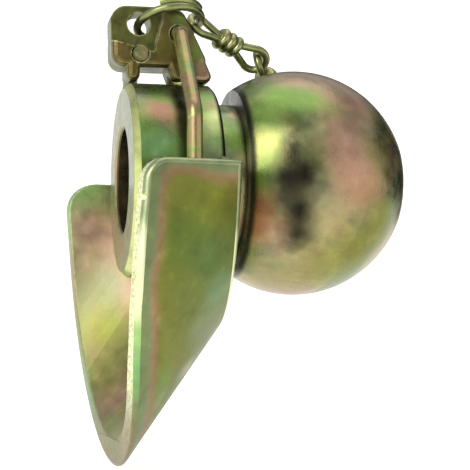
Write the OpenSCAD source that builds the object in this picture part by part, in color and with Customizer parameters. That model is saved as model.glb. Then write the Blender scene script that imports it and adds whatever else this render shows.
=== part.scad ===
// Hook-on ball with collar, catch guide and chained lynch pin.
// Frame: origin at the ball's centre on the bore axis. +X runs along the bore
// away from the collar, +Z is up. Units are millimetres.

/* [Ball and collar] */
// Diameter of the ball
ball_d = 64; // [60:0.5:68]
// Distance from the ball's centre to its flat on the collar side
ball_flat_in = 18.6; // [17:0.1:20]
// Distance from the ball's centre to its free end face
ball_flat_out = 28; // [27:0.1:28.6]
// Diameter of the neck between ball and collar
neck_d = 43.6; // [40:0.2:46]
// Length of the neck
neck_len = 6.7; // [6:0.1:8]
// Diameter of the collar
collar_d = 54; // [52:0.2:54.4]
// Length of the collar along the bore
collar_len = 24; // [23:0.1:26]
// Chamfer around the collar's free end
collar_chamfer = 1.8; // [1:0.1:2.2]
// Diameter of the bore through ball and neck
bore_d = 28.7; // [26:0.1:30]
// Extra diameter of the bore inside the collar
bore_relief = 0.5; // [0.2:0.1:1]
// Chamfer at both mouths of the bore
bore_chamfer = 0.9; // [0.5:0.1:1.2]

/* [Catch guide] */
// Plate thickness of the guide
guide_t = 5; // [4:0.1:5.4]
// Outer radius of the guide's bend
guide_bend_r = 38; // [37.6:0.1:39.5]
// Lean of the guide's spine from the upright
guide_lean = 36.54; // [35:0.1:38]
// Turn of the guide about the upright
guide_turn = 8; // [6:0.5:10]
// Outward flare of each wing
wing_flare = 2; // [1:0.5:3]
// Height of the near wing's top edge
wing_top_near = 3.4; // [2:0.1:4]
// Height of the far wing's top edge
wing_top_far = 1.9; // [1:0.1:3]
// Depth of the guide's tip below the bore axis
guide_tip_z = 79; // [76:0.5:82]
// Corner radius of the near wing
wing_r_near = 5.5; // [4:0.5:7]
// Corner radius of the far wing
wing_r_far = 9; // [7:0.5:11]
// Distance from the guide's right edge to the collar's inner end
guide_overhang = 2.62; // [2:0.02:3]

/* [Lynch pin] */
// Diameter of the pin's shank
shank_d = 10; // [9:0.1:10.6]
// Distance from the collar's inner end to the shank's axis
shank_inset = 6.4; // [6.2:0.1:7]
// Clearance around the shank in its cross hole
shank_clear = 0.3; // [0.25:0.05:0.4]
// Length of the shank below the collar
shank_tail = 8; // [6:0.1:8.2]
// Thickness of the pin's head
head_t = 12; // [10:0.2:13]
// Rounding of the head's edges
head_edge = 1.6; // [1:0.1:2]
// Height of the head's flat underside above the collar
head_lift = 4.2; // [3.8:0.1:4.6]
// Height of the head
head_h = 17.2; // [16.6:0.1:18]
// Seat gap between the pin and the collar
seat_gap = 0.3; // [0.2:0.05:0.4]

/* [Bail] */
// Diameter of the bail's wire
bail_d = 4.2; // [4:0.1:4.3]
// Clearance between the bail and the collar
bail_clear = 0.3; // [0.3:0.02:0.36]
// Clearance around the bail's ends in the head
bail_end_clear = 0.4; // [0.3:0.05:0.5]
// Distance of the bail's plane from the shank's axis
bail_offset = 2.5; // [2.2:0.1:2.8]

/* [Chain] */
// Diameter of the chain's wire
chain_d = 2.2; // [2:0.1:2.4]
// Pitch of one knotted link
link_pitch = 22.6; // [22.4:0.1:22.8]
// Radius of a link's end bow
bow_r = 3.6; // [3.5:0.1:3.7]
// Radius of the ring in the pin's head
ring_r = 9.2; // [9:0.1:9.3]
// Radius of the ring in the guide
end_ring_r = 5.6; // [5.4:0.1:5.8]
// Diameter of the hole for the chain in the pin's head
chain_hole_d = 6.4; // [6.2:0.1:6.6]

/* [Hidden] */
$fn = 96;
eps = 0.01;
far_off = 200;
// Straight runs of a wire are this much thinner than its bends, and lap into them
joint_step = 0.04;
joint_lap = 0.3;
collar_x1 = -ball_flat_in - neck_len;
collar_x0 = collar_x1 - collar_len;
collar_r = collar_d / 2;
// Eased edge of the collar's inner end
collar_ease = 0.8;

// The guide's own frame stands on the upright through this point of the bore axis
guide_root_x = collar_x1 - 11.95;
guide_x1 = collar_x1 + guide_overhang;
// Distances back to the spine at the tip and to the free edge
spine_back = 14.4;
edge_back = 18.6;
edge_slope = 0.071;
wing_len = 110;
wing_sink = 0.02;

shank_x = collar_x1 - shank_inset;
shank_z0 = -collar_r - shank_tail;
shank_tip = 1.2;
nose_x = collar_x0 + 2.6;
nose_r = 1.9;
head_z0 = collar_r + head_lift;
head_z1 = head_z0 + head_h;
seat_z = collar_r + seat_gap;
chain_hole_x = nose_x + 1.7;
chain_hole_z = head_z1 - 5;
tab_t = 7.6;

// How far the pin can rise before the bail meets the collar from below
pin_rise = 0.8;
// The bail lies in an upright plane and follows the collar at this radius,
// around a centre that is lower by the pin's rise
bail_x = shank_x - bail_offset;
bail_run_r = collar_r + bail_clear + bail_d / 2;
bail_back_x = nose_x + 1.9;
bail_hole_near = [bail_x, head_z0 + 9.4];
bail_hole_far = [bail_back_x, head_z0 + 3.6];
bail_side_z = -pin_rise - bail_run_r * tan(22.5);
bail_low_z = -pin_rise - bail_run_r * sqrt(2);
bail_points = [
    [bail_x, head_t / 2 - 0.6, bail_hole_near[1]],
    [bail_x, -head_t / 2 - 2.2, bail_hole_near[1]],
    [bail_x, -bail_run_r, 15.5],
    [bail_x, -bail_run_r, bail_side_z],
    [bail_x, 0, bail_low_z],
    [bail_x, bail_run_r, bail_side_z],
    [bail_x, bail_run_r, 4],
    [bail_back_x, 25.5, 21],
    [bail_back_x, head_t / 2 + 4.5, bail_hole_far[1]],
    [bail_back_x, -head_t / 2 + 0.4, bail_hole_far[1]]];
bail_bends = [0, 4, 5, bail_run_r, 10, bail_run_r, 8, 8, 4.4, 0];

// Knotted links: each starts one pitch after the last, along its own heading
link_count = 4;
link_heading = [14.1, 61.2, 110.9, 186.8];
link_rise = [-25.4, -17.7, -55.4, -42.4];
link_roll = [50.2, 73.3, -65.2, 0.2];
bow_gap = 1.3;
bow_x = bow_r - (chain_d + bow_gap) / 2;
leg_lean = 20;
leg_end_y = 0.9;
turn_gap = 0.1;
knot_len = 3 * (chain_d + turn_gap);
knot_core_r = 2.6;
knot_turn_r = 2.4;
knot_lean = 12;

// The ring in the head passes through the chain hole at its left end
ring_tilt = 8.7;
ring_roll = 17;
ring_wire = chain_d + 0.1;
ring_lap_from = -110;
ring_lap_turn = 88;
// Where along the ring the first link hangs, and how far back its pitch starts
link_hang = 14.3;
hang_back = 1;
ring_centre = [chain_hole_x + 0.1 + ring_r * cos(ring_tilt), 0,
               chain_hole_z + ring_r * sin(ring_tilt)];
// The ring in the guide passes through a hole in the far wing
end_hole_x = guide_x1 - 5.3;
end_hole_y = 33.1;
end_hole_z = -3;
end_hole_d = 5.2;

// Weld beads bridge the gap between the collar and the wings: radius, and the
// two ends of each bead's straight run
bead_r_near_right = 3;
bead_r_near_left = 4.2;
bead_r_far_right = 2;
bead_r_far_left = 3.2;
bead_bite = 0.8;
bead_z_near = wing_top_near - 2.4;
bead_z_left = -0.6;
bead_low_r = collar_r + 1.1;
bead_near_right = [[collar_x1 - 2.9, -collar_r - bead_r_near_right + bead_bite, bead_z_near],
                   [collar_x1 + 0.1, -collar_r - bead_r_near_right + bead_bite, bead_z_near]];
bead_near_left = [[collar_x0 + 4, -collar_r - bead_r_near_left + bead_bite / 2, bead_z_left],
                  [collar_x0 + 6.4, -collar_r - bead_r_near_left + bead_bite / 2, bead_z_left]];
bead_far_right = [[collar_x1 - 0.6, bead_low_r * cos(26.5), -bead_low_r * sin(26.5)],
                  [collar_x1 - 0.6, bead_low_r * cos(35.8), -bead_low_r * sin(35.8)]];
bead_far_left = [[collar_x0 + 4, collar_r + bead_r_far_left - bead_bite, bead_z_left],
                 [collar_x0 + 6, collar_r + bead_r_far_left - bead_bite, bead_z_left]];

function unit(v) = v / norm(v);

// A round rod from p to q.
module rod(p, q, d) {
    v = q - p;
    translate(p)
        rotate([0, acos(v[2] / norm(v)), atan2(v[1], v[0])])
            cylinder(d = d, h = norm(v));
}

// One bend of a wire: arc of radius r at corner c between points a and b.
module wire_bend(a, c, b, r, d) {
    u = unit(a - c);
    v = unit(b - c);
    turn = 180 - acos(u * v);
    n = unit(cross(u, v));
    m = unit(u + v);
    centre = c + m * r / cos(turn / 2);
    start = c + u * r * tan(turn / 2);
    x = unit(start - centre);
    y = cross(n, x);
    multmatrix([[x[0], y[0], n[0], centre[0]],
                [x[1], y[1], n[1], centre[1]],
                [x[2], y[2], n[2], centre[2]],
                [0, 0, 0, 1]])
        rotate([0, 0, -turn])
            rotate_extrude(angle = turn)
                translate([r, 0])
                    circle(d = d, $fn = 48);
}

function bend_cut(p, radii, i) =
    (i == 0 || i == len(p) - 1) ? 0
    : radii[i] * tan((180 - acos(unit(p[i - 1] - p[i]) * unit(p[i + 1] - p[i]))) / 2);

// A wire along the points p, with a bend radius for each inner point.
// Each straight run reaches a little way into the bends at its ends.
module bent_wire(p, radii, d) {
    for (i = [0 : len(p) - 2]) {
        dir = unit(p[i + 1] - p[i]);
        cut_0 = i == 0 ? 0 : bend_cut(p, radii, i) - joint_lap;
        cut_1 = i == len(p) - 2 ? 0 : bend_cut(p, radii, i + 1) - joint_lap;
        rod(p[i] + dir * cut_0, p[i + 1] - dir * cut_1, d - joint_step);
    }
    for (i = [1 : len(p) - 2])
        wire_bend(p[i - 1], p[i], p[i + 1], radii[i], d);
}

module along_x(x0, x1, r0, r1) {
    translate([x0, 0, 0])
        rotate([0, 90, 0])
            cylinder(h = x1 - x0, r1 = r0, r2 = r1);
}

module ball_body() {
    color("darkkhaki")
        difference() {
            union() {
                intersection() {
                    sphere(d = ball_d, $fn = 180);
                    along_x(-ball_flat_in, ball_flat_out, ball_d, ball_d);
                }
                along_x(collar_x1 - 1, -ball_flat_in + 1, neck_d / 2, neck_d / 2);
                along_x(collar_x0 + collar_chamfer, collar_x1 - collar_ease,
                        collar_d / 2, collar_d / 2);
                along_x(collar_x0, collar_x0 + collar_chamfer,
                        collar_d / 2 - collar_chamfer * 0.9, collar_d / 2);
                along_x(collar_x1 - collar_ease, collar_x1,
                        collar_d / 2, collar_d / 2 - collar_ease);
            }
            along_x(collar_x1, far_off, bore_d / 2, bore_d / 2);
            along_x(-far_off, collar_x1, (bore_d + bore_relief) / 2,
                    (bore_d + bore_relief) / 2);
            along_x(collar_x0 - eps, collar_x0 + bore_chamfer,
                    (bore_d + bore_relief) / 2 + bore_chamfer,
                    (bore_d + bore_relief) / 2);
            along_x(ball_flat_out - bore_chamfer, ball_flat_out + eps,
                    bore_d / 2, bore_d / 2 + bore_chamfer);
            translate([shank_x, 0, -far_off / 2])
                cylinder(d = shank_d + 2 * shank_clear, h = far_off);
        }
}

// The bent plate before its edges are cut, in the guide's own frame.
module guide_blank() {
    spine_len = 150;
    translate([-spine_back, 0, -guide_tip_z])
        rotate([0, guide_lean, 0])
            translate([-guide_bend_r, 0, -5])
                linear_extrude(spine_len)
                    difference() {
                        wing_section(guide_bend_r);
                        wing_section(guide_bend_r - guide_t);
                    }
}

// Round bend of radius r with two straight wings that flare away from it.
// The wings start a hair inside the bend, so that the two cross cleanly.
module wing_section(r) {
    start_x = r * sin(wing_flare);
    start_y = r * cos(wing_flare) - wing_sink;
    end_x = start_x - wing_len * cos(wing_flare);
    end_y = start_y + wing_len * sin(wing_flare);
    circle(r = r, $fn = 160);
    polygon([[start_x, start_y], [end_x, end_y], [end_x, -end_y], [start_x, -start_y]]);
}

// Distance back to the guide's free edge at height z.
function edge_x(z) = -edge_back - edge_slope * (z + 20);

// Side outline that both wings are cut to: a leaning free edge and a flat top.
module wing_outline() {
    low = -guide_tip_z - 20;
    translate([0, 60, 0])
        rotate([90, 0, 0])
            linear_extrude(120)
                polygon([[edge_x(low), low], [80, low], [80, wing_top_near],
                         [edge_x(wing_top_near), wing_top_near]]);
}

// What is cut away over one wing to round its corner and set its top.
module wing_corner_cut(top, corner_r, y0) {
    edge_deg = atan(edge_slope);
    corner_z = top - corner_r;
    corner_x = edge_x(corner_z) + corner_r / cos(edge_deg);
    translate([0, y0 + 50, 0])
        rotate([90, 0, 0])
            linear_extrude(50)
                difference() {
                    polygon([[80, top], [80, top + 20], [corner_x - 20, top + 20],
                             [corner_x - 20, corner_z], [corner_x, corner_z],
                             [corner_x, top]]);
                    translate([corner_x, corner_z])
                        circle(r = corner_r + wing_sink);
                }
}

module guide_plate() {
    color("olivedrab")
        difference() {
            translate([guide_root_x, 0, 0])
                rotate([0, 0, guide_turn])
                    difference() {
                        intersection() {
                            guide_blank();
                            wing_outline();
                        }
                        wing_corner_cut(wing_top_near, wing_r_near, -60);
                        wing_corner_cut(wing_top_far, wing_r_far, 10);
                    }
            translate([guide_x1, -far_off / 2, -far_off / 2])
                cube(far_off);
            translate([end_hole_x + 0.4, end_hole_y, end_hole_z])
                rotate([90, 0, 0])
                    cylinder(d = end_hole_d, h = 30, center = true);
        }
}

// A thick disc with round edges, its axis along Y.
module head_corner(x, z, r) {
    for (y = [-1, 1])
        translate([x, y * (head_t / 2 - head_edge), z])
            rotate([90, 0, 0])
                rotate_extrude($fn = 36)
                    intersection() {
                        translate([r - head_edge, 0])
                            circle(r = head_edge, $fn = 12);
                        translate([0, -head_edge])
                            square(2 * r);
                    }
}

module lynch_pin() {
    color("olive")
        difference() {
            union() {
                hull() {
                    head_corner(nose_x - 1.6, head_z1 - 4.6, 4.6);
                    head_corner(nose_x - 2.5, head_z0 + 3.5, 3.5);
                    head_corner(shank_x - 4.5, head_z1 - 5, 5);
                    head_corner(shank_x + 3, head_z0 + 2.5, 2.5);
                }
                hull() {
                    head_corner(shank_x - 4.5, head_z1 - 5, 5);
                    head_corner(shank_x - 2.6, seat_z + 2, 2);
                    head_corner(shank_x + 5, seat_z + 2, 2);
                }
                hull() {
                    head_corner(nose_x, head_z0 + 3, nose_r);
                    head_corner(nose_x, seat_z + nose_r, nose_r);
                }
                translate([shank_x, 0, shank_z0 + shank_tip])
                    cylinder(d = shank_d, h = head_z0 - shank_z0);
                translate([shank_x, 0, shank_z0])
                    cylinder(d1 = shank_d - 2 * shank_tip, d2 = shank_d, h = shank_tip);
            }
            translate([chain_hole_x, 0, chain_hole_z])
                rotate([90, 0, 0])
                    cylinder(d = chain_hole_d, h = 2 * head_t, center = true);
            for (y = [-1, 1])
                translate([chain_hole_x - 12, y * (tab_t / 2 + 5), chain_hole_z - 4])
                    rotate([0, 14, 0])
                        translate([0, -5, 0])
                            cube([16.5, 10, 20]);
            for (p = [bail_hole_near, bail_hole_far])
                translate([p[0], 0, p[1]])
                    rotate([90, 0, 0])
                        cylinder(d = bail_d + 2 * bail_end_clear, h = 2 * head_t, center = true);
        }
}

module bail() {
    color("tan")
        bent_wire(bail_points, bail_bends, bail_d);
}

// One knotted link along +X from the origin: two bows at right angles, whose
// wires run into a wound knot at the middle.
module knotted_link() {
    for (end = [0, 1])
        translate([end * link_pitch, 0, 0])
            rotate([end * 90, 0, end * 180])
                link_loop();
    translate([link_pitch / 2 - knot_len / 2, 0, 0])
        rotate([0, 90, 0])
            cylinder(r = knot_core_r, h = knot_len, $fn = 48);
    for (i = [-1 : 1])
        translate([link_pitch / 2 + i * (chain_d + turn_gap), 0, 0])
            rotate([0, 90 + knot_lean, 0])
                rotate_extrude($fn = 64)
                    translate([knot_turn_r, 0])
                        circle(d = chain_d, $fn = 32);
}

module link_loop() {
    translate([bow_x, 0, 0])
        rotate([0, 0, 90 - leg_lean])
            rotate_extrude(angle = 180 + 2 * leg_lean, $fn = 64)
                translate([bow_r, 0])
                    circle(d = chain_d, $fn = 32);
    for (side = [-1, 1])
        rod([bow_x + bow_r * sin(leg_lean) - joint_lap * cos(leg_lean),
             side * (bow_r * cos(leg_lean) + joint_lap * sin(leg_lean)), 0],
            [link_pitch / 2 - knot_len / 2 + 1.2, side * leg_end_y, 0],
            chain_d - joint_step);
}

module chain_link(i) {
    color("darkolivegreen")
        translate(link_start(i))
            rotate([0, -link_rise[i], link_heading[i]])
                rotate([link_roll[i], 0, 0])
                    knotted_link();
}

// Where link i starts: the first link's start and one pitch for each before it.
function link_start(i) = i == 0 ? ring_point(link_hang) - hang_back * link_dir(0)
    : link_start(i - 1) + link_pitch * link_dir(i - 1);

// The direction in which link i runs.
function link_dir(i) = [cos(link_rise[i]) * cos(link_heading[i]),
                        cos(link_rise[i]) * sin(link_heading[i]),
                        sin(link_rise[i])];

// A point on the centreline of the ring in the head: the ring is rolled about
// its own length, then tilted up.
function ring_point(a) =
    let (x = ring_r * cos(a),
         y = ring_r * sin(a) * cos(ring_roll),
         z = -ring_r * sin(a) * sin(ring_roll))
    ring_centre + [x * cos(ring_tilt) - z * sin(ring_tilt), y,
                   x * sin(ring_tilt) + z * cos(ring_tilt)];

// A ring that passes through the pin's head, its wire lapped over the top.
module chain_ring() {
    color("darkkhaki")
        translate(ring_centre)
            rotate([0, -ring_tilt, 0])
                rotate([-ring_roll, 0, 0]) {
                    rotate_extrude($fn = 96)
                        translate([ring_r, 0])
                            circle(d = ring_wire, $fn = 32);
                    translate([0, 0, ring_wire * 0.9])
                        rotate([0, 0, ring_lap_from])
                            rotate_extrude(angle = ring_lap_turn, $fn = 96)
                                translate([ring_r, 0])
                                    circle(d = ring_wire, $fn = 32);
                }
}

module guide_ring() {
    color("darkkhaki")
        translate([end_hole_x + end_ring_r, end_hole_y, end_hole_z])
            rotate_extrude($fn = 96)
                translate([end_ring_r, 0])
                    circle(d = chain_d, $fn = 32);
}

// A weld bead from p to q: a round run with tapered ends.
module weld_bead(p, q, r) {
    dir = unit(q - p);
    taper = r * 0.55;
    color("gray")
        union() {
            cone_run(p - dir * taper, p, r * 0.55, r);
            cone_run(p, q, r, r);
            cone_run(q, q + dir * taper, r, r * 0.55);
        }
}

// A straight round run from p to q whose radius goes from r0 to r1.
module cone_run(p, q, r0, r1) {
    v = q - p;
    translate(p)
        rotate([0, acos(v[2] / norm(v)), atan2(v[1], v[0])])
            cylinder(r1 = r0, r2 = r1, h = norm(v), $fn = 48);
}

ball_body();
guide_plate();
weld_bead(bead_near_right[0], bead_near_right[1], bead_r_near_right);  // weld_near_right
weld_bead(bead_near_left[0], bead_near_left[1], bead_r_near_left);  // weld_near_left
weld_bead(bead_far_right[0], bead_far_right[1], bead_r_far_right);  // weld_far_right
weld_bead(bead_far_left[0], bead_far_left[1], bead_r_far_left);  // weld_far_left
lynch_pin();
bail();
chain_ring();
chain_link(0);  // chain_link_1
chain_link(1);  // chain_link_2
chain_link(2);  // chain_link_3
chain_link(3);  // chain_link_4
guide_ring();
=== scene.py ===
"""Looks of a hook-on ball with collar, catch guide and chained lynch pin.

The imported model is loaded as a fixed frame. Each operator makes or finishes
one piece, or a group of like pieces, in that frame, in metres: the origin is
the ball's centre, +X runs along the bore away from the collar, +Z is up.
"""
import math

import bmesh
import bpy
from bpy.props import FloatProperty, FloatVectorProperty, IntProperty, PointerProperty
from mathutils import Matrix, Vector, noise


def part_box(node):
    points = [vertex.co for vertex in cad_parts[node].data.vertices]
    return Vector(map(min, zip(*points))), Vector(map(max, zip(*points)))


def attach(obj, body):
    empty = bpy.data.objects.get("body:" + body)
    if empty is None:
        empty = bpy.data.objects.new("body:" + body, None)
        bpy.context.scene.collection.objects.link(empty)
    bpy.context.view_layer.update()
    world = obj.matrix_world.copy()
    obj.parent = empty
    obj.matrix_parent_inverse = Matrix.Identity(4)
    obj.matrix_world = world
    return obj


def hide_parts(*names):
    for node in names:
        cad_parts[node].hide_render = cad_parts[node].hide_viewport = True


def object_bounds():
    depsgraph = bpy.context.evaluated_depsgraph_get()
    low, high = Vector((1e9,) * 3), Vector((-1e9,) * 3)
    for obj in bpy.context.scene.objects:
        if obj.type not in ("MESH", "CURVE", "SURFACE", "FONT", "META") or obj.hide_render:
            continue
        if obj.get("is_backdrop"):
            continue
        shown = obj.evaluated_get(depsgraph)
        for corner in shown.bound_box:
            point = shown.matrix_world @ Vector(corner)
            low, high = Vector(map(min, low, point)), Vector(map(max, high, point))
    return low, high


bl_info = {
    "name": "Hook-on Ball Looks",
    "version": (1, 0, 0),
    "blender": (4, 5, 0),
    "location": "3D View > Sidebar > Hook-on Ball",
    "description": "Finishes a hook-on ball with its guide, lynch pin and chain",
    "category": "Object",
}

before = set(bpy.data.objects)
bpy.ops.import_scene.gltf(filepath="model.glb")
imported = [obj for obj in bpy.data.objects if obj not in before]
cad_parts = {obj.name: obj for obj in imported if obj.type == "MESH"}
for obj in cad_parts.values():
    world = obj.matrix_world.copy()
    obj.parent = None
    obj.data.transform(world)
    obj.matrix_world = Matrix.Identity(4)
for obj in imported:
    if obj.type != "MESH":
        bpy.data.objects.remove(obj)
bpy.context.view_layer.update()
MM = 0.001

# Places that part.scad also uses, in metres
GUIDE_ROOT = Vector((-0.03725, 0, 0))
GUIDE_RIGHT_X = -0.02268
NECK_END = -0.0186
EDGE_BACK = 0.02002
EDGE_SLOPE = 0.071
SPINE_FOOT = (-0.0144, 0, -0.079)
END_HOLE_PLACE = (-0.02758, 0.0331, -0.003)
END_HOLE_R = 0.0026

# The photograph's camera: metres, then yaw, pitch and roll in radians, then millimetres
EYE_PLACE = Vector((-0.0906, -0.3204, -0.032))
EYE_TURN = (0.2259, 0.0519, -0.0044)
LENS = 88.84
SENSOR = 36
VIEW_SIZE = 470

# Where bands of the ball's colour run: along the bore, or out from its axis, in metres.
# The chamfer's band is a painted highlight
CHAMFER_X = (-0.0475, -0.0477)
CHAMFER_OUT = (0.0249, 0.0252)
END_FACE_X = (-0.04918, -0.04926)
# The bore's band is painted shade
BORE_OUT = (0.0151, 0.0149)

# The blank that the guide is cut from, in metres
WING_LENGTH = 0.11
BLANK_HEIGHT = 0.15
BLANK_SINK = 0.005

# The near edge's sway, in metres: the slices that let it bend, where the wing starts,
# how softly the sway sets in, how far the inner rim lags and how far it drifts sideways
SLICE_HEIGHT = 0.0045
SLICES = range(2, 18)
WING_START = 0.004
SWAY_ONSET = 0.02
INNER_LAG = 0.0005
SWAY_DRIFT = 0.028
# Height and how far back the edge stands there, in millimetres
SWAY_MARKS = ((-79, 0), (-60, -1.0), (-48, -1.5), (-36, -1.3), (-25, -0.2), (-15, 1.1),
              (-8, 2.3), (4, 3.9))
NICK_PLACE = (-0.0487, -0.0394, -0.0078)
FEWEST_FACES = 100

# The weld beads' ripples and lumps, in metres
RIPPLE_DEPTH = 0.00009
LUMP_DEPTH = 0.00022

WORLD_LIGHT = 0.62
FLOOR_GLOW = 0.8
BOWL_RISE = 1.0


# Small helpers

def srgb(red, green, blue):
    """A colour given as it looks on a screen, as the shader wants it."""
    def linear(value):
        return value / 12.92 if value <= 0.04045 else ((value + 0.055) / 1.055) ** 2.4
    return (linear(red), linear(green), linear(blue), 1.0)


def new_object(name, bm, materials, body):
    """Makes the finished mesh an object that rides on a body."""
    mesh = bpy.data.meshes.new(name)
    bm.to_mesh(mesh)
    bm.free()
    piece = bpy.data.objects.new(name, mesh)
    bpy.context.scene.collection.objects.link(piece)
    for material in materials:
        mesh.materials.append(material)
    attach(piece, body)
    return piece


def apply_modifiers(piece):
    """Puts what the modifiers make into the mesh itself."""
    depsgraph = bpy.context.evaluated_depsgraph_get()
    made = bpy.data.meshes.new_from_object(piece.evaluated_get(depsgraph))
    piece.modifiers.clear()
    piece.data = made


def finish_node(name, material):
    """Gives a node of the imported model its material."""
    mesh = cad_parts[name].data
    mesh.materials.clear()
    mesh.materials.append(material)


def facing(place, target):
    """The placement of an object that looks from a place at a target."""
    aim = Vector(target) - Vector(place)
    return Matrix.Translation(place) @ aim.to_track_quat("-Z", "Y").to_matrix().to_4x4()


def only(parts, kind):
    """The parts of one kind, among what a bmesh operator made."""
    return [part for part in parts if isinstance(part, kind)]


def everything(bm):
    return bm.verts[:] + bm.edges[:] + bm.faces[:]


class Finish:
    """One procedural material and short ways to add nodes to it."""

    def __init__(self, name):
        self.material = bpy.data.materials.new(name)
        self.material.use_nodes = True
        self.tree = self.material.node_tree
        self.shader = self.tree.nodes["Principled BSDF"]
        self.place = self.tree.nodes.new("ShaderNodeTexCoord").outputs["Object"]

    def link(self, value, socket):
        if isinstance(value, bpy.types.NodeSocket):
            self.tree.links.new(value, socket)
        else:
            socket.default_value = value

    def node(self, kind, inputs, **settings):
        made = self.tree.nodes.new(kind)
        for name, value in settings.items():
            setattr(made, name, value)
        for key, value in inputs.items():
            self.link(value, made.inputs[key])
        return made

    def math(self, operation, first, second=0.0, third=0.0):
        return self.node("ShaderNodeMath", {0: first, 1: second, 2: third},
                         operation=operation).outputs[0]

    def vector(self, operation, first, second):
        made = self.node("ShaderNodeVectorMath", {0: first, 1: second}, operation=operation)
        return made.outputs["Value" if operation in ("DOT_PRODUCT", "DISTANCE") else 0]

    def mix(self, factor, first, second, blend="MIX"):
        made = self.tree.nodes.new("ShaderNodeMix")
        made.data_type = "RGBA"
        made.blend_type = blend
        for index, value in ((0, factor), (6, first), (7, second)):
            self.link(value, made.inputs[index])
        return made.outputs[2]

    def span(self, value, low, high, to_low=0.0, to_high=1.0):
        """Where value runs from low to high, a smooth run between two results."""
        made = self.node("ShaderNodeMapRange", {0: value, 1: low, 2: high, 3: to_low, 4: to_high})
        made.interpolation_type = "SMOOTHSTEP"
        return made.outputs[0]

    def cloud(self, scale, detail=3.0, distortion=0.0, place=None):
        """Soft noise from 0 to 1 around 0.5."""
        return self.node("ShaderNodeTexNoise", {
            "Vector": self.place if place is None else place, "Scale": scale,
            "Detail": detail, "Roughness": 0.55, "Distortion": distortion}).outputs["Fac"]

    def axes(self):
        return self.node("ShaderNodeSeparateXYZ", {0: self.place}).outputs

    def moved(self, rotation=(0, 0, 0), location=(0, 0, 0), scale=(1, 1, 1)):
        return self.node("ShaderNodeMapping", {
            "Vector": self.place, "Rotation": rotation, "Location": location,
            "Scale": scale}).outputs[0]

    def ramp(self, value, stops):
        made = self.node("ShaderNodeValToRGB", {0: value})
        band = made.color_ramp
        band.interpolation = "EASE"
        while len(band.elements) < len(stops):
            band.elements.new(0.5)
        for element, (position, colour) in zip(band.elements, stops):
            element.position = position
            element.color = colour
        return made.outputs[0]

    def warped(self, amount, scale):
        """The place, pushed about by noise, so that patches have loose outlines."""
        made = self.node("ShaderNodeTexNoise", {"Vector": self.place, "Scale": scale,
                                                "Detail": 2.0})
        centred = self.vector("SUBTRACT", made.outputs["Color"], (0.5, 0.5, 0.5))
        scaled = self.vector("MULTIPLY", centred, (amount, amount, amount))
        return self.vector("ADD", self.place, scaled)

    def patches(self, colour, node, spots, warp=0.012, scale=70.0):
        """Lays soft round patches over a colour where points of the view show on a node.

        Each spot is the point across and down, radius in millimetres, tint, strength.
        """
        place = self.warped(warp, scale)
        for px, py, radius, tint, strength in spots:
            away = self.vector("DISTANCE", place, list(seen(node, px, py)))
            cover = self.span(away, radius * MM * 1.25, 0.0, 0.0, strength)
            colour = self.mix(cover, colour, tint)
        return colour

    def edge_glint(self, reach, strength):
        """Where an edge lies within reach: a painted highlight along it, broken up by noise."""
        eased = self.node("ShaderNodeBevel", {"Radius": reach}, samples=6).outputs[0]
        plain = self.node("ShaderNodeNewGeometry", {}).outputs["Normal"]
        turned = self.vector("DOT_PRODUCT", eased, plain)
        glint_amount = self.math("MULTIPLY", self.span(turned, 0.995, 0.90), strength)
        return self.math("MULTIPLY", glint_amount, self.span(self.cloud(500.0, 3.0), 0.30, 0.52))

    def plate(self, colour, rough=0.34, rough_spread=0.12, grain=1500.0, bump=0.08,
              lines=None, lines_bump=0.0):
        """Ends the material as plated metal: fine mottling, pores, roughness and bump."""
        mottle = self.cloud(260.0, 4.0)
        colour = self.mix(0.34, colour, self.ramp(mottle, [
            (0.30, srgb(0.30, 0.30, 0.20)), (0.52, srgb(0.62, 0.62, 0.48)),
            (0.72, srgb(0.86, 0.86, 0.74))]), "SOFT_LIGHT")
        pores = self.span(self.cloud(900.0, 5.0), 0.70, 0.78)
        colour = self.mix(self.math("MULTIPLY", pores, 0.14), colour, srgb(0.16, 0.14, 0.09))
        self.link(colour, self.shader.inputs["Base Color"])
        roughness = self.span(mottle, 0.3, 0.7, rough - rough_spread / 2, rough + rough_spread / 2)
        self.link(self.math("ADD", roughness, self.math("MULTIPLY", pores, 0.2)),
                  self.shader.inputs["Roughness"])
        self.shader.inputs["Metallic"].default_value = 0.92
        height = self.cloud(grain, 3.0)
        if lines is not None:
            height = self.math("ADD", height, self.math("MULTIPLY", lines, lines_bump))
        self.link(self.node("ShaderNodeBump", {"Height": height, "Strength": bump,
                                               "Distance": 0.0003}).outputs[0],
                  self.shader.inputs["Normal"])
        return self.material


# Finishes

GREEN = srgb(0.45, 0.58, 0.29)
BRIGHT_GREEN = srgb(0.50, 0.68, 0.38)
DEEP_GREEN = srgb(0.27, 0.45, 0.12)
GREY_GREEN = srgb(0.50, 0.54, 0.41)
OLIVE = srgb(0.49, 0.49, 0.25)
GOLD = srgb(0.55, 0.55, 0.30)
DEEP_GOLD = srgb(0.47, 0.46, 0.17)
PINK = srgb(0.66, 0.55, 0.47)
ROSE = srgb(0.63, 0.46, 0.41)
RUST = srgb(0.54, 0.34, 0.21)
TAN = srgb(0.66, 0.62, 0.46)
PALE = srgb(0.78, 0.78, 0.60)
TEAL = srgb(0.45, 0.58, 0.46)
BROWN = srgb(0.30, 0.25, 0.16)
DARK = srgb(0.13, 0.125, 0.10)
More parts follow.
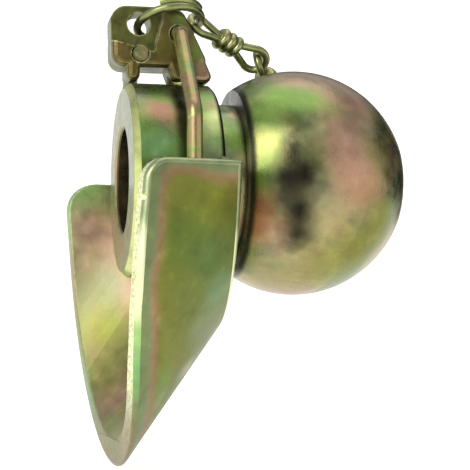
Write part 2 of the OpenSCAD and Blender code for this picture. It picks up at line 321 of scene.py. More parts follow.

# Hue patches. Each row is a point across and down in the photograph's
# 470 x 470 pixels, the patch's radius in millimetres, its tint and its strength.
BALL_HUES = (
    (296, 78, 12, PINK, 0.9), (278, 97, 11, GREEN, 0.95), (318, 100, 9, GREEN, 0.85),
    (260, 116, 10, GREEN, 0.95), (292, 120, 4, DEEP_GREEN, 0.5),
    (318, 133, 6, BRIGHT_GREEN, 0.8), (264, 148, 7, srgb(0.60, 0.62, 0.36), 0.8),
    (262, 174, 6, DEEP_GREEN, 0.95), (322, 180, 11, GREY_GREEN, 0.95),
    (320, 154, 8, GREEN, 0.8), (345, 142, 13, srgb(0.76, 0.60, 0.54), 0.9),
    (356, 106, 10, ROSE, 0.85), (330, 84, 8, PINK, 0.8),
    (356, 188, 11, srgb(0.66, 0.50, 0.42), 0.85), (378, 198, 9, RUST, 0.4),
    (384, 160, 8, OLIVE, 0.7), (354, 248, 13, DEEP_GOLD, 0.9), (322, 272, 11, GOLD, 0.9),
    (376, 226, 8, DEEP_GOLD, 0.8), (388, 128, 9, OLIVE, 0.8), (270, 274, 9, TAN, 0.8),
    (263, 202, 9, srgb(0.44, 0.24, 0.14), 0.9), (256, 228, 8, RUST, 0.8),
    (274, 240, 6, PINK, 0.8), (320, 226, 7, TAN, 0.6))
# Painted dark reflections on the ball: a dark streak down its face and the dark rim at its right
# edge. Same columns.
BALL_PAINTED_REFLECTIONS = (
    (294, 196, 13, BROWN, 0.35), (298, 236, 8, BROWN, 0.4), (293, 150, 5.2, DARK, 0.9),
    (302, 177, 7.4, DARK, 1.0), (286, 178, 6.6, DARK, 0.95), (298, 210, 6.6, DARK, 1.0),
    (299, 232, 6, DARK, 0.9), (293, 122, 5, BROWN, 0.45), (401, 182, 4, DARK, 0.8),
    (398, 150, 3.5, BROWN, 0.6), (398, 215, 3.5, BROWN, 0.6))
COLLAR_HUES = (
    (160, 108, 6, ROSE, 0.9), (165, 122, 6, ROSE, 0.8),
    (156, 142, 7, srgb(0.48, 0.64, 0.44), 0.9), (150, 130, 4, GREEN, 0.7),
    (219, 128, 7, srgb(0.88, 0.90, 0.66), 0.95), (219, 138, 5, BRIGHT_GREEN, 0.7),
    (214, 106, 4, PINK, 0.7), (240, 142, 5, srgb(0.52, 0.64, 0.30), 0.9),
    (236, 113, 3.5, PINK, 0.8))
OUTER_HUES = (
    (175, 190, 8, OLIVE, 0.7), (200, 172, 7, OLIVE, 0.8),
    (210, 200, 9, srgb(0.46, 0.48, 0.18), 0.7), (182, 236, 11, srgb(0.36, 0.43, 0.21), 0.85),
    (212, 254, 10, srgb(0.34, 0.43, 0.26), 0.85), (222, 290, 8, TEAL, 0.6),
    (190, 300, 9, srgb(0.42, 0.46, 0.27), 0.7), (205, 325, 8, GREY_GREEN, 0.7),
    (170, 345, 9, srgb(0.50, 0.52, 0.28), 0.7), (160, 385, 7, GREEN, 0.7),
    (150, 410, 7, srgb(0.58, 0.68, 0.48), 0.8), (186, 370, 5, TAN, 0.7),
    (239, 180, 6, srgb(0.44, 0.36, 0.16), 0.9), (236, 208, 9, srgb(0.34, 0.35, 0.14), 0.9),
    (232, 245, 7, srgb(0.32, 0.40, 0.18), 0.7))
INNER_HUES = (
    (86, 197, 9, srgb(0.58, 0.74, 0.46), 0.95), (104, 190, 6, srgb(0.60, 0.70, 0.50), 0.9),
    (84, 226, 9, srgb(0.76, 0.62, 0.56), 0.95), (106, 224, 7, srgb(0.74, 0.62, 0.54), 0.9),
    (84, 260, 9, srgb(0.72, 0.64, 0.52), 0.8), (108, 270, 8, GREY_GREEN, 0.7),
    (92, 292, 9, GREY_GREEN, 0.7), (100, 330, 10, srgb(0.54, 0.55, 0.28), 0.9),
    (100, 375, 10, srgb(0.54, 0.56, 0.31), 0.9), (112, 420, 8, srgb(0.52, 0.56, 0.36), 0.8),
    (122, 438, 6, TEAL, 0.8))
PIN_HUES = (
    (144, 54, 2.6, ROSE, 0.8), (170, 24, 4, BROWN, 0.5), (152, 12, 5, GREY_GREEN, 0.5),
    (162, 45, 4, OLIVE, 0.6), (199, 52, 5, GREEN, 0.6), (204, 76, 5, PINK, 0.7),
    (180, 20, 4, GREEN, 0.6))
# Where the shade beside the bail shows on the collar, in the same pixels
SHADE_POINT = (181, 118)


def eye():
    """Where the photograph was taken from, and the directions across, up and ahead."""
    yaw, pitch, roll = EYE_TURN
    ahead = Vector((math.sin(yaw) * math.cos(pitch), math.cos(yaw) * math.cos(pitch),
                    math.sin(pitch)))
    right = Vector((math.cos(yaw), -math.sin(yaw), 0))
    up = right.cross(ahead)
    across = right * math.cos(roll) + up * math.sin(roll)
    upward = up * math.cos(roll) - right * math.sin(roll)
    return EYE_PLACE, across, upward, ahead


def seen(node, px, py):
    """The place on a node that shows at a point of the photograph's view."""
    start, across, upward, ahead = eye()
    reach = LENS / SENSOR * VIEW_SIZE
    half = VIEW_SIZE / 2
    way = (ahead + across * (px - half) / reach - upward * (py - half) / reach).normalized()
    hit, place, _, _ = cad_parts[node].ray_cast(start, way)
    if not hit:
        raise RuntimeError(f"{node} doesn't show at {px}, {py}")
    return place


def film(finish, scale, stops=None):
    """The film's own slow drift of hue."""
    drift = finish.cloud(scale, 3.0, 0.8)
    return finish.ramp(drift, stops or [
        (0.34, GREEN), (0.45, GREY_GREEN), (0.54, TAN), (0.64, PINK)])


def ball_finish(hues):
    finish = Finish("ball_zinc")
    x, y, z = finish.axes()
    out = finish.math("SQRT", finish.math("ADD", finish.math("POWER", y, 2.0),
                                          finish.math("POWER", z, 2.0)))
    colour = film(finish, 30.0)
    ball = "ball_body"
    colour = finish.patches(colour, ball, BALL_HUES)
    # Painted dark reflections over the ball
    colour = finish.patches(colour, ball, BALL_PAINTED_REFLECTIONS, 0.005, 200.0)
    colour = finish.patches(colour, ball, COLLAR_HUES, 0.005, 150.0)
    # Painted highlight along the collar's chamfer, broken up by noise
    chamfer = finish.math("MULTIPLY", finish.span(x, *CHAMFER_X),
                          finish.span(out, *CHAMFER_OUT))
    glint_amount = finish.span(finish.cloud(150.0, 4.0), 0.36, 0.60, 0.45, 0.95)
    colour = finish.mix(finish.math("MULTIPLY", chamfer, glint_amount), colour, hues.chamfer_highlight)
    face = finish.span(x, *END_FACE_X)
    colour = finish.mix(finish.math("MULTIPLY", face, 0.8), colour, srgb(0.48, 0.50, 0.36))
    # Painted shade inside the bore
    bore = finish.span(out, *BORE_OUT)
    colour = finish.mix(finish.math("MULTIPLY", bore, 0.85), colour, srgb(0.24, 0.21, 0.13))
    sway = finish.math("MULTIPLY", finish.math("SUBTRACT", finish.cloud(160.0, 2.0), 0.5), 0.0006)
    along = finish.math("ADD", x, sway)
    shade = seen(ball, *SHADE_POINT).x
    # Painted shade in dark bands round the bore: beside the bail, at the collar's inner edge, at
    # the neck
    for low, high, soft, strength in ((shade - 0.0012, shade + 0.0025, 0.0012, 0.8),
                                      (-0.0264, -0.0245, 0.0005, 0.85),
                                      (NECK_END - 0.0004, NECK_END + 0.0014, 0.0007, 0.97)):
        band = finish.math("MULTIPLY", finish.span(along, low - soft, low + soft),
                           finish.span(along, high + soft, high - soft))
        colour = finish.mix(finish.math("MULTIPLY", band, strength), colour, DARK)
    turned = finish.moved(scale=(1.0, 0.02, 0.02))
    lines = finish.cloud(2600.0, 2.0, place=turned)
    return finish.plate(colour, 0.30, 0.10, lines=lines, lines_bump=0.8, bump=0.10)


def guide_place(finish):
    """The place in the guide's own frame, which stands turned on the upright."""
    turn = math.radians(-8)
    shift = -(Matrix.Rotation(turn, 3, "Z") @ GUIDE_ROOT)
    return finish.moved(rotation=(0, 0, turn), location=shift)


def edge_bands(finish, colour, strength):
    """Bands of hue that follow the guide's free edge and its top."""
    local = guide_place(finish)
    wander = finish.math("MULTIPLY", finish.math("SUBTRACT", finish.cloud(70.0, 2.0), 0.5), 0.005)
    inward = finish.math("ADD", finish.vector("DOT_PRODUCT", local, (1, 0, EDGE_SLOPE)),
                         EDGE_BACK)
    inward = finish.math("ADD", inward, wander)
    z = finish.axes()[2]
    back = finish.span(z, -0.026, 0.0, 0.0013, 0.0055)
    inward = finish.math("SUBTRACT", inward, back)
    down = finish.math("ADD", finish.math("SUBTRACT", 0.0011, z), wander)
    near = finish.math("SMOOTH_MIN", inward, down, 0.006)
    fade = finish.span(near, 0.0030, 0.0068, strength, 0.0)
    bands = finish.ramp(finish.span(near, 0.0, 0.0062), [
        (0.0, srgb(0.47, 0.52, 0.38)), (0.08, srgb(0.48, 0.53, 0.39)),
        (0.22, srgb(0.57, 0.49, 0.40)), (0.55, srgb(0.56, 0.46, 0.33)),
        (0.9, OLIVE)])
    return finish.mix(fade, colour, bands)


def guide_outer_finish():
    finish = Finish("guide_outer_zinc")
    colour = film(finish, 22.0, [(0.36, srgb(0.39, 0.44, 0.20)), (0.50, srgb(0.44, 0.46, 0.21)),
                                 (0.62, srgb(0.48, 0.46, 0.22))])
    wing = "guide_plate"
    colour = finish.patches(colour, wing, OUTER_HUES, 0.010, 60.0)
    colour = edge_bands(finish, colour, 0.85)
    drawn = finish.moved(rotation=(0, math.radians(-36.5), 0), scale=(1.0, 1.0, 0.06))
    lines = finish.cloud(900.0, 2.0, place=drawn)
    return finish.plate(colour, 0.40, 0.10, lines=lines, lines_bump=0.4, bump=0.08)


def guide_inner_finish():
    finish = Finish("guide_inner_zinc")
    colour = film(finish, 24.0, [(0.36, srgb(0.52, 0.53, 0.34)), (0.50, srgb(0.58, 0.53, 0.38)),
                                 (0.62, PINK)])
    wing = "guide_plate"
    colour = finish.patches(colour, wing, INNER_HUES, 0.012, 60.0)
    colour = edge_bands(finish, colour, 0.2)
    return finish.plate(colour, 0.42, 0.10, bump=0.08)


def guide_edge_finish():
    """The torn half of the sheared edge."""
    finish = Finish("guide_edge_zinc")
    stripes = finish.cloud(1500.0, 6.0, place=finish.moved(scale=(1.0, 0.5, 0.7)))
    colour = finish.ramp(stripes, [(0.34, srgb(0.74, 0.74, 0.55)), (0.46, srgb(0.86, 0.88, 0.69)),
                                   (0.60, srgb(0.95, 0.96, 0.82))])
    _, y, z = finish.axes()
    low = finish.span(z, -0.05, -0.068)
    colour = finish.mix(finish.math("MULTIPLY", low, 0.8), colour, srgb(0.50, 0.43, 0.33))
    quiet = finish.ramp(finish.span(z, -0.078, 0.002), [
        (0.0, srgb(0.52, 0.50, 0.36)), (0.12, srgb(0.50, 0.58, 0.44)),
        (0.45, srgb(0.54, 0.55, 0.34)), (0.75, srgb(0.60, 0.53, 0.44)),
        (0.95, srgb(0.56, 0.66, 0.46))])
    far = finish.span(y, -0.016, -0.004, 0.0, 0.85)
    colour = finish.mix(far, colour, quiet)
    rip = finish.span(finish.cloud(420.0, 6.0), 0.35, 0.65)
    return finish.plate(colour, 0.45, 0.16, lines=rip, lines_bump=1.6, bump=0.25)


def guide_rolled_finish():
    """The smooth half of the sheared edge, where the plate was drawn over."""
    finish = Finish("guide_rolled_zinc")
    z = finish.axes()[2]
    colour = finish.ramp(finish.span(z, -0.075, 0.0), [
        (0.0, srgb(0.52, 0.47, 0.36)), (0.25, srgb(0.50, 0.68, 0.44)),
        (0.42, srgb(0.60, 0.74, 0.48)), (0.55, srgb(0.88, 0.90, 0.72)),
        (0.85, srgb(0.88, 0.90, 0.74)), (0.93, srgb(0.60, 0.64, 0.50))])
    return finish.plate(colour, 0.36, 0.12, bump=0.08)


def pin_finish():
    finish = Finish("pin_zinc")
    colour = film(finish, 60.0, [(0.36, srgb(0.34, 0.35, 0.17)), (0.48, srgb(0.37, 0.33, 0.18)),
                                 (0.58, srgb(0.42, 0.36, 0.22)), (0.68, srgb(0.52, 0.42, 0.32))])
    pin = "lynch_pin"
    colour = finish.patches(colour, pin, PIN_HUES, 0.004, 200.0)
    y = finish.axes()[1]
    side = finish.span(y, -0.0055, -0.0047)
    colour = finish.mix(finish.math("MULTIPLY", side, 0.7), colour, srgb(0.40, 0.42, 0.24))
    # Painted highlight along the pin's eased edges
    colour = finish.mix(finish.edge_glint(0.0009, 0.75), colour, PALE)
    return finish.plate(colour, 0.36, 0.14, bump=0.22, grain=900.0)


def wire_finish(name, stops, scale):
    finish = Finish(name)
    colour = film(finish, scale, stops)
    return finish.plate(colour, 0.30, 0.12, bump=0.08, grain=1800.0)


def weld_finish():
    finish = Finish("weld_zinc")
    colour = film(finish, 120.0, [(0.34, srgb(0.34, 0.40, 0.30)), (0.5, srgb(0.46, 0.50, 0.36)),
                                  (0.66, srgb(0.62, 0.64, 0.50))])
    return finish.plate(colour, 0.48, 0.2, bump=0.5, grain=700.0)


# Settings

class HookBallHues(bpy.types.PropertyGroup):
    # Colour of the painted highlight on the collar's chamfer
    chamfer_highlight: FloatVectorProperty(
        name="Bright edge", description="Colour of the collar's chamfer", subtype="COLOR",
        size=4, min=0, max=1, default=srgb(0.80, 0.82, 0.56))


class HookBallGuide(bpy.types.PropertyGroup):
    bend_radius: FloatProperty(
        name="Bend radius", description="Outer radius of the guide's bend", unit="LENGTH",
        default=0.038)
    thickness: FloatProperty(
        name="Thickness", description="Plate thickness of the guide", unit="LENGTH",
        default=0.005)
    lean: FloatProperty(
        name="Lean", description="Lean of the spine from the upright", unit="ROTATION",
        default=math.radians(36.54))
    turn: FloatProperty(
        name="Turn", description="Turn of the guide about the upright", unit="ROTATION",
        default=math.radians(8))
    flare: FloatProperty(
        name="Flare", description="Outward flare of each wing", unit="ROTATION",
        default=math.radians(2))
    near_top: FloatProperty(
        name="Near top", description="Height of the near wing's top edge", unit="LENGTH",
        default=0.0024)
    far_top: FloatProperty(
        name="Far top", description="Height of the far wing's top edge", unit="LENGTH",
        default=0.0019)
    near_corner: FloatProperty(
        name="Near corner", description="Corner radius of the near wing", unit="LENGTH",
        default=0.0062)
    far_corner: FloatProperty(
        name="Far corner", description="Corner radius of the far wing", unit="LENGTH",
        default=0.009)
    outer_ease: FloatProperty(
        name="Outer ease", description="Rounding along the plate's outer edges", unit="LENGTH",
        default=0.0015)
    inner_ease: FloatProperty(
        name="Inner ease", description="Rounding along the plate's inner edges", unit="LENGTH",
        default=0.0005)
    bend_steps: IntProperty(
        name="Bend steps", description="Facets round the bend", default=40, min=12)


class HookBallStage(bpy.types.PropertyGroup):
    floor_drop: FloatProperty(
        name="Floor drop", description="Room between the tip and the floor", unit="LENGTH",
        default=0.0005)
    bowl_radius: FloatProperty(
        name="Bowl radius", description="Radius of the pale floor before it rises",
        unit="LENGTH", default=1.6)
    key_power: FloatProperty(
        name="Key light", description="Power of the large light at the left", unit="POWER",
        default=6.5)
    top_power: FloatProperty(
        name="Top light", description="Power of the soft light overhead", unit="POWER",
        default=3)


# Operators

class HOOKBALL_OT_stage(bpy.types.Operator):
    """Make the camera, the pale floor, the lights and the soft surroundings"""
    bl_idname = "hookball.stage"
    bl_label = "Stage"

    def execute(self, context):
        settings = context.scene.hook_ball_stage
        self.camera(context.scene)
        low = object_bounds()[0][2] - settings.floor_drop
        self.bowl(settings.bowl_radius, low)
        self.light(context.scene, "key_light", (-0.62, -0.72, 0.52), 0.75, settings.key_power)
        self.light(context.scene, "top_light", (0.10, 0.10, 1.1), 1.0, settings.top_power)
        for name, place, size in (("flag_right", (0.75, 0.36, 0.06), 0.9),
                                  ("flag_front", (0.02, -0.80, 0.12), 0.30),
                                  ("flag_back", (0.20, 0.75, 0.20), 0.5)):
            self.card(name, place, size)
        world = bpy.data.worlds.new("soft_surroundings")
        world.use_nodes = True
        world.node_tree.nodes["Background"].inputs[0].default_value = (1, 1, 1, 1)
        world.node_tree.nodes["Background"].inputs[1].default_value = WORLD_LIGHT
        context.scene.world = world
        context.scene.view_settings.view_transform = "Standard"
        return {"FINISHED"}

    @staticmethod
    def camera(scene):
        start, across, upward, ahead = eye()
        data = bpy.data.cameras.new("photo_view")
        data.lens = LENS
        data.sensor_width = SENSOR
        data.clip_start = 0.01
        view = bpy.data.objects.new("photo_view", data)
        turn = Matrix((across, upward, -ahead)).transposed().to_4x4()
        view.matrix_world = Matrix.Translation(start) @ turn
        scene.collection.objects.link(view)
        scene.camera = view

    @staticmethod
    def bowl(radius, low):
        """A floor that rises into a backdrop all round, spun from one line."""
        bm = bmesh.new()
        start = bm.verts.new((0, 0, low))
        rim = bm.verts.new((radius, 0, low))
        bm.edges.new((start, rim))
        bmesh.ops.spin(bm, geom=[rim], cent=(radius, 0, low + BOWL_RISE), axis=(0, -1, 0),
                       dvec=(0, 0, 0), angle=math.radians(80), steps=16)
        bmesh.ops.spin(bm, geom=bm.verts[:] + bm.edges[:], cent=(0, 0, 0), axis=(0, 0, 1),
                       dvec=(0, 0, 0), angle=math.tau, steps=96, use_merge=True)
        bmesh.ops.remove_doubles(bm, verts=bm.verts[:], dist=1e-5)
        bmesh.ops.recalc_face_normals(bm, faces=bm.faces[:])
        for face in bm.faces:
            face.smooth = True
        mesh = bpy.data.meshes.new("pale_floor")
        bm.to_mesh(mesh)
        bm.free()
        floor = bpy.data.objects.new("pale_floor", mesh)
        bpy.context.scene.collection.objects.link(floor)
        finish = Finish("pale_floor")
        finish.link(srgb(0.80, 0.80, 0.79), finish.shader.inputs["Base Color"])
        finish.shader.inputs["Roughness"].default_value = 0.9
        finish.shader.inputs["Emission Color"].default_value = (1, 1, 1, 1)
        finish.shader.inputs["Emission Strength"].default_value = FLOOR_GLOW
        mesh.materials.append(finish.material)
        floor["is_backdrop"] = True

    @staticmethod
    def light(scene, name, place, size, power):
        data = bpy.data.lights.new(name, "AREA")
        data.shape = "DISK"
        data.size = size
        data.energy = power
        lamp = bpy.data.objects.new(name, data)
        lamp.matrix_world = facing(place, (-0.02, 0, -0.01))
        scene.collection.objects.link(lamp)

    @staticmethod
    def card(name, place, size):
        """A dark card outside the view, which the metal mirrors."""
        bm = bmesh.new()
        bmesh.ops.create_grid(bm, x_segments=1, y_segments=1, size=size / 2,
                              matrix=facing(place, (0, 0, 0)))
        mesh = bpy.data.meshes.new(name)
        bm.to_mesh(mesh)
        bm.free()
        card = bpy.data.objects.new(name, mesh)
        bpy.context.scene.collection.objects.link(card)
        card.visible_camera = False
        card.visible_shadow = False
        finish = Finish(name)
        finish.link(srgb(0.10, 0.10, 0.09), finish.shader.inputs["Base Color"])
        finish.shader.inputs["Roughness"].default_value = 1.0
        mesh.materials.append(finish.material)
        card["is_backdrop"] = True


class HOOKBALL_OT_ball(bpy.types.Operator):
    """Finish the ball, neck and collar"""
    bl_idname = "hookball.ball"
    bl_label = "Ball and Collar"

    def execute(self, context):
        finish_node("ball_body", ball_finish(context.scene.hook_ball_hues))
        return {"FINISHED"}


class HOOKBALL_OT_guide(bpy.types.Operator):
    """Make the bent catch guide with its worn edges"""
    bl_idname = "hookball.guide"
    bl_label = "Catch Guide"

    def execute(self, context):
        settings = context.scene.hook_ball_guide
        bm = bmesh.new()
        side = bm.faces.layers.int.new("side")
        self.bent_plate(bm, settings)
        self.mark_sides(bm, side, settings)
        self.trim(bm, settings)
        self.sway_edge(bm, side, settings)
        self.round_edges(bm, side, settings)
        for face in bm.faces:
            face.material_index = face[side]
            face.smooth = True
        guide = new_object("guide_skin", bm,
                           [guide_edge_finish(), guide_outer_finish(), guide_inner_finish(),
                            guide_rolled_finish()], "ball")
        self.bore(guide)
        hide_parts("guide_plate")
        return {"FINISHED"}

    @staticmethod
    def own_frame(settings):
        return Matrix.Translation(GUIDE_ROOT) @ Matrix.Rotation(settings.turn, 4, "Z")

    @staticmethod
    def bent_plate(bm, settings):
        """Draws the section as one strip, round the bend, and pulls it along the spine."""
        bend = settings.bend_radius
        inner = bend - settings.thickness
        along = Vector((-math.cos(settings.flare), -math.sin(settings.flare), 0))
        foot = Vector((math.sin(settings.flare), -math.cos(settings.flare), 0))
        ends = [bm.verts.new(foot * r + along * WING_LENGTH) for r in (inner, bend)]
        strip = bm.edges.new(ends)
        made = bmesh.ops.extrude_edge_only(bm, edges=[strip])
        verts = only(made["geom"], bmesh.types.BMVert)
        bmesh.ops.translate(bm, vec=-along * WING_LENGTH, verts=verts)
        edges = only(made["geom"], bmesh.types.BMEdge)
        edge = next(e for e in edges if all(v in verts for v in e.verts))
        made = bmesh.ops.spin(bm, geom=[edge] + verts, cent=(0, 0, 0), axis=(0, 0, 1),
                              dvec=(0, 0, 0), angle=math.pi - 2 * settings.flare,
                              steps=settings.bend_steps)
        last = only(made["geom_last"], bmesh.types.BMEdge)
        made = bmesh.ops.extrude_edge_only(bm, edges=last)
        verts = only(made["geom"], bmesh.types.BMVert)
        out = Vector((along.x, -along.y, 0))
        bmesh.ops.translate(bm, vec=out * WING_LENGTH, verts=verts)
        made = bmesh.ops.extrude_face_region(bm, geom=bm.faces[:])
        verts = only(made["geom"], bmesh.types.BMVert)
        bmesh.ops.translate(bm, vec=(0, 0, BLANK_HEIGHT), verts=verts)
        bmesh.ops.recalc_face_normals(bm, faces=bm.faces[:])

    @staticmethod
    def mark_sides(bm, side, settings):
        """Notes which faces look away from the bend's axis, then stands the plate up."""
        for face in bm.faces:
            centre = face.calc_center_median()
            outward = Vector((centre.x, centre.y, 0)).dot(face.normal)
            if abs(face.normal.z) > 0.5:
                face[side] = 0
            else:
                face[side] = 1 if outward > 0 else 2
        stand = (Matrix.Translation(SPINE_FOOT)
                 @ Matrix.Rotation(settings.lean, 4, "Y")
                 @ Matrix.Translation((-settings.bend_radius, 0, -BLANK_SINK)))
        bmesh.ops.transform(bm, matrix=stand, verts=bm.verts[:])

    @classmethod
    def cut(cls, bm, point, normal):
        """Cuts everything away on the normal's side of a plane and closes the cut."""
        bmesh.ops.bisect_plane(bm, geom=everything(bm), dist=1e-7,
                               plane_co=point, plane_no=normal, clear_outer=True)
        cls.close(bm)

    @staticmethod
    def close(bm):
        """Closes what a cut left open, as a sheared side of the plate."""
        side = bm.faces.layers.int["side"]
        made = bmesh.ops.holes_fill(bm, edges=[e for e in bm.edges if e.is_boundary], sides=0)
        for face in made["faces"]:
            face[side] = 0

    @classmethod
    def trim(cls, bm, settings):
        cls.cut(bm, (-EDGE_BACK, 0, 0), Vector((-1, 0, -EDGE_SLOPE)))
        cls.cut(bm, (0, 0, settings.near_top), Vector((0, 0, 1)))
        bmesh.ops.transform(bm, matrix=cls.own_frame(settings), verts=bm.verts[:])
        cls.cut(bm, (GUIDE_RIGHT_X, 0, 0), Vector((1, 0, 0)))
        bmesh.ops.bisect_plane(bm, geom=everything(bm), dist=1e-7,
                               plane_co=(0, 0, settings.far_top), plane_no=(0, 0, 1))
        high = [v for v in bm.verts if v.co.z > settings.far_top + 1e-5 and v.co.y > 0]
        bmesh.ops.delete(bm, geom=high, context="VERTS")
        cls.close(bm)
        flat = [e for e in bm.edges if e.is_manifold and e.calc_face_angle(1) < 1e-3
                and all(abs(v.co.z - settings.far_top) < 1e-6 and v.co.y < 0 for v in e.verts)]
        bmesh.ops.dissolve_edges(bm, edges=flat, use_verts=True, use_face_split=False)
        bmesh.ops.remove_doubles(bm, verts=bm.verts[:], dist=1e-6)
        bmesh.ops.recalc_face_normals(bm, faces=bm.faces[:])

    @classmethod
    def sway_edge(cls, bm, side, settings):
        """Gives the near wing's free edge its sway: back at the top, out lower down."""
        home = cls.own_frame(settings)
        for step in SLICES:
            parts = set()
            for face in bm.faces:
                middle = home.inverted() @ face.calc_center_median()
                if (face[side] == 0
                        and abs(middle.x + EDGE_SLOPE * middle.z + EDGE_BACK) < 1e-4):
                    parts.update([face, *face.edges, *face.verts])
            bmesh.ops.bisect_plane(bm, geom=list(parts), dist=1e-6,
                                   plane_co=(0, 0, -SLICE_HEIGHT * step), plane_no=(0, 0, 1))
        for vert in bm.verts:
            place = home.inverted() @ vert.co
            if abs(place.x + EDGE_SLOPE * place.z + EDGE_BACK) > 1e-5 or place.y > -WING_START:
                continue
            near = min(1.0, (-place.y - WING_START) / SWAY_ONSET)
            inner = any(face[side] == 2 for face in vert.link_faces)
            move = cls.sway(place.z / MM) * near * MM - (INNER_LAG * near if inner else 0)
            vert.co = home @ (place + Vector((move, SWAY_DRIFT * move, 0)))

    @staticmethod
    def sway(z):
        """How far back the near edge stands at a height, both in millimetres."""
        for (low, first), (high, second) in zip(SWAY_MARKS, SWAY_MARKS[1:]):
            if z <= high:
                share = max(0.0, (z - low) / (high - low))
                return first + (second - first) * share
        return SWAY_MARKS[-1][1]

    @classmethod
    def round_edges(cls, bm, side, settings):
        """Rounds the wings' corners, then eases the rims of both faces of the plate."""
        into = cls.own_frame(settings).inverted()

        def at_corner(edge, top, sign):
            return (all(abs(v.co.z - top) < 1e-5 and (into @ v.co).y * sign > 0.01
                        and (into @ v.co).x < -0.012 for v in edge.verts)
                    and sorted(f[side] for f in edge.link_faces) == [0, 0])

        for top, sign, radius in ((settings.near_top, -1, settings.near_corner),
                                  (settings.far_top, 1, settings.far_corner)):
            corner = [e for e in bm.edges if at_corner(e, top, sign)]
            if not corner:
                raise RuntimeError("the guide has no corner to round")
            bmesh.ops.bevel(bm, geom=corner, offset=radius, offset_type="OFFSET", segments=8,
                            profile=0.5, affect="EDGES", material=-1)
        for wanted, amount, steps in ((1, settings.outer_ease, 4), (2, settings.inner_ease, 2)):
            rim = [e for e in bm.edges if len(e.link_faces) == 2
                   and sorted(f[side] for f in e.link_faces) == [0, wanted]
                   and e.calc_face_angle(0) > 0.6]
            made = bmesh.ops.bevel(bm, geom=rim, offset=amount, offset_type="OFFSET",
                                   segments=steps, profile=0.5, affect="EDGES",
                                   clamp_overlap=False, material=-1)
            for face in made["faces"]:
                face[side] = 3 if wanted == 1 else 0
            bmesh.ops.dissolve_degenerate(bm, edges=bm.edges[:], dist=2e-5)
            bmesh.ops.remove_doubles(bm, verts=bm.verts[:], dist=2e-5)
        bmesh.ops.recalc_face_normals(bm, faces=bm.faces[:])

    @staticmethod
    def bore(guide):
        """Bores the hole for the chain's end ring and nicks the near edge."""
        bm = bmesh.new()
        turn = Matrix.Translation(END_HOLE_PLACE) @ Matrix.Rotation(math.pi / 2, 4, "X")
        bmesh.ops.create_cone(bm, cap_ends=True, segments=40, radius1=END_HOLE_R,
                              radius2=END_HOLE_R, depth=0.016, matrix=turn)
        nick = (Matrix.Translation(NICK_PLACE)
                @ Matrix.Rotation(math.pi / 2, 4, "Y") @ Matrix.Rotation(0.5, 4, "Z"))
        bmesh.ops.create_cone(bm, cap_ends=True, segments=5, radius1=0.0014, radius2=0.0002,
                              depth=0.0036, matrix=nick)
        mesh = bpy.data.meshes.new("bore_tool")
        bm.to_mesh(mesh)
        bm.free()
        tool = bpy.data.objects.new("bore_tool", mesh)
        bpy.context.scene.collection.objects.link(tool)
        bore = guide.modifiers.new("bore", "BOOLEAN")
        bore.operation = "DIFFERENCE"
        bore.solver = "EXACT"
        bore.object = tool
        apply_modifiers(guide)
        bpy.data.objects.remove(tool)
        bm = bmesh.new()
        bm.from_mesh(guide.data)
        bmesh.ops.remove_doubles(bm, verts=bm.verts[:], dist=1e-5)
        bmesh.ops.holes_fill(bm, edges=[e for e in bm.edges if e.is_boundary], sides=0)
        for edge in bm.edges:
            if len(edge.link_faces) == 2 and edge.calc_face_angle(0) > 0.7:
                edge.smooth = False
        bm.to_mesh(guide.data)
        bm.free()
        if len(guide.data.polygons) < FEWEST_FACES:
            raise RuntimeError("the guide was lost when it was bored")


class HOOKBALL_OT_welds(bpy.types.Operator):
    """Make the weld beads between the collar and the guide"""
    bl_idname = "hookball.welds"
    bl_label = "Weld Beads"

    def execute(self, context):
        material = weld_finish()
        for name in ("weld_near_right", "weld_near_left", "weld_far_right", "weld_far_left"):
            low, high = (Vector(corner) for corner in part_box(name))
            bm = bmesh.new()
            size = (high - low) / 2
            place = Matrix.Translation((low + high) / 2) @ Matrix.Diagonal((*size, 1))
            bmesh.ops.create_icosphere(bm, subdivisions=5, radius=0.93, matrix=place)
            for vert in bm.verts:
                ripple = math.sin(vert.co.x / MM * 3.4 + 2.0 * math.sin(vert.co.z / MM))
                lump = noise.noise(vert.co * 520) + 0.5 * noise.noise(vert.co * 1300)
                vert.co += vert.normal * (RIPPLE_DEPTH * ripple + LUMP_DEPTH * lump)
            for face in bm.faces:
                face.smooth = True
            bead = new_object(name + "_bead", bm, [material], "ball")
            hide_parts(name)
        return {"FINISHED"}


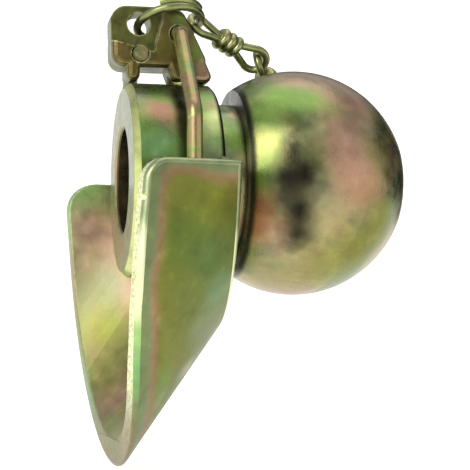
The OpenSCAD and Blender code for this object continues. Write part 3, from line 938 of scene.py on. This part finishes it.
class HOOKBALL_OT_pin(bpy.types.Operator):
    """Finish the lynch pin and its bail"""
    bl_idname = "hookball.pin"
    bl_label = "Lynch Pin"

    def execute(self, context):
        finish_node("lynch_pin", pin_finish())
        finish_node("bail", wire_finish("bail_zinc", [
            (0.34, srgb(0.50, 0.57, 0.38)), (0.44, srgb(0.60, 0.58, 0.38)),
            (0.54, srgb(0.64, 0.54, 0.43)), (0.62, srgb(0.56, 0.57, 0.37)),
            (0.70, PALE)], 95.0))
        return {"FINISHED"}


class HOOKBALL_OT_chain(bpy.types.Operator):
    """Finish the rings and the knotted links"""
    bl_idname = "hookball.chain"
    bl_label = "Chain"

    def execute(self, context):
        material = wire_finish("chain_zinc", [
            (0.34, srgb(0.42, 0.47, 0.31)), (0.48, srgb(0.52, 0.54, 0.37)),
            (0.60, srgb(0.62, 0.62, 0.46)), (0.70, srgb(0.58, 0.52, 0.40))], 90.0)
        for name in ("chain_ring", "chain_link_1", "chain_link_2", "chain_link_3",
                     "chain_link_4", "guide_ring"):
            finish_node(name, material)
        return {"FINISHED"}


class HOOKBALL_PT_panel(bpy.types.Panel):
    """Lists the steps that make the piece"""
    bl_idname = "HOOKBALL_PT_panel"
    bl_label = "Hook-on Ball"
    bl_space_type = "VIEW_3D"
    bl_region_type = "UI"
    bl_category = "Hook-on Ball"

    def draw(self, context):
        for step in STEPS:
            self.layout.operator(step.bl_idname)


STEPS = (HOOKBALL_OT_stage, HOOKBALL_OT_ball, HOOKBALL_OT_guide, HOOKBALL_OT_welds,
         HOOKBALL_OT_pin, HOOKBALL_OT_chain)
CLASSES = (HookBallHues, HookBallGuide, HookBallStage) + STEPS + (HOOKBALL_PT_panel,)


def register():
    for cls in CLASSES:
        bpy.utils.register_class(cls)
    bpy.types.Scene.hook_ball_hues = PointerProperty(type=HookBallHues)
    bpy.types.Scene.hook_ball_guide = PointerProperty(type=HookBallGuide)
    bpy.types.Scene.hook_ball_stage = PointerProperty(type=HookBallStage)


def unregister():
    del bpy.types.Scene.hook_ball_stage
    del bpy.types.Scene.hook_ball_guide
    del bpy.types.Scene.hook_ball_hues
    for cls in reversed(CLASSES):
        bpy.utils.unregister_class(cls)


def main():
    register()
    bpy.ops.hookball.stage()
    bpy.ops.hookball.ball()
    bpy.ops.hookball.guide()
    bpy.ops.hookball.welds()
    bpy.ops.hookball.pin()
    bpy.ops.hookball.chain()


if __name__ == "__main__":
    main()
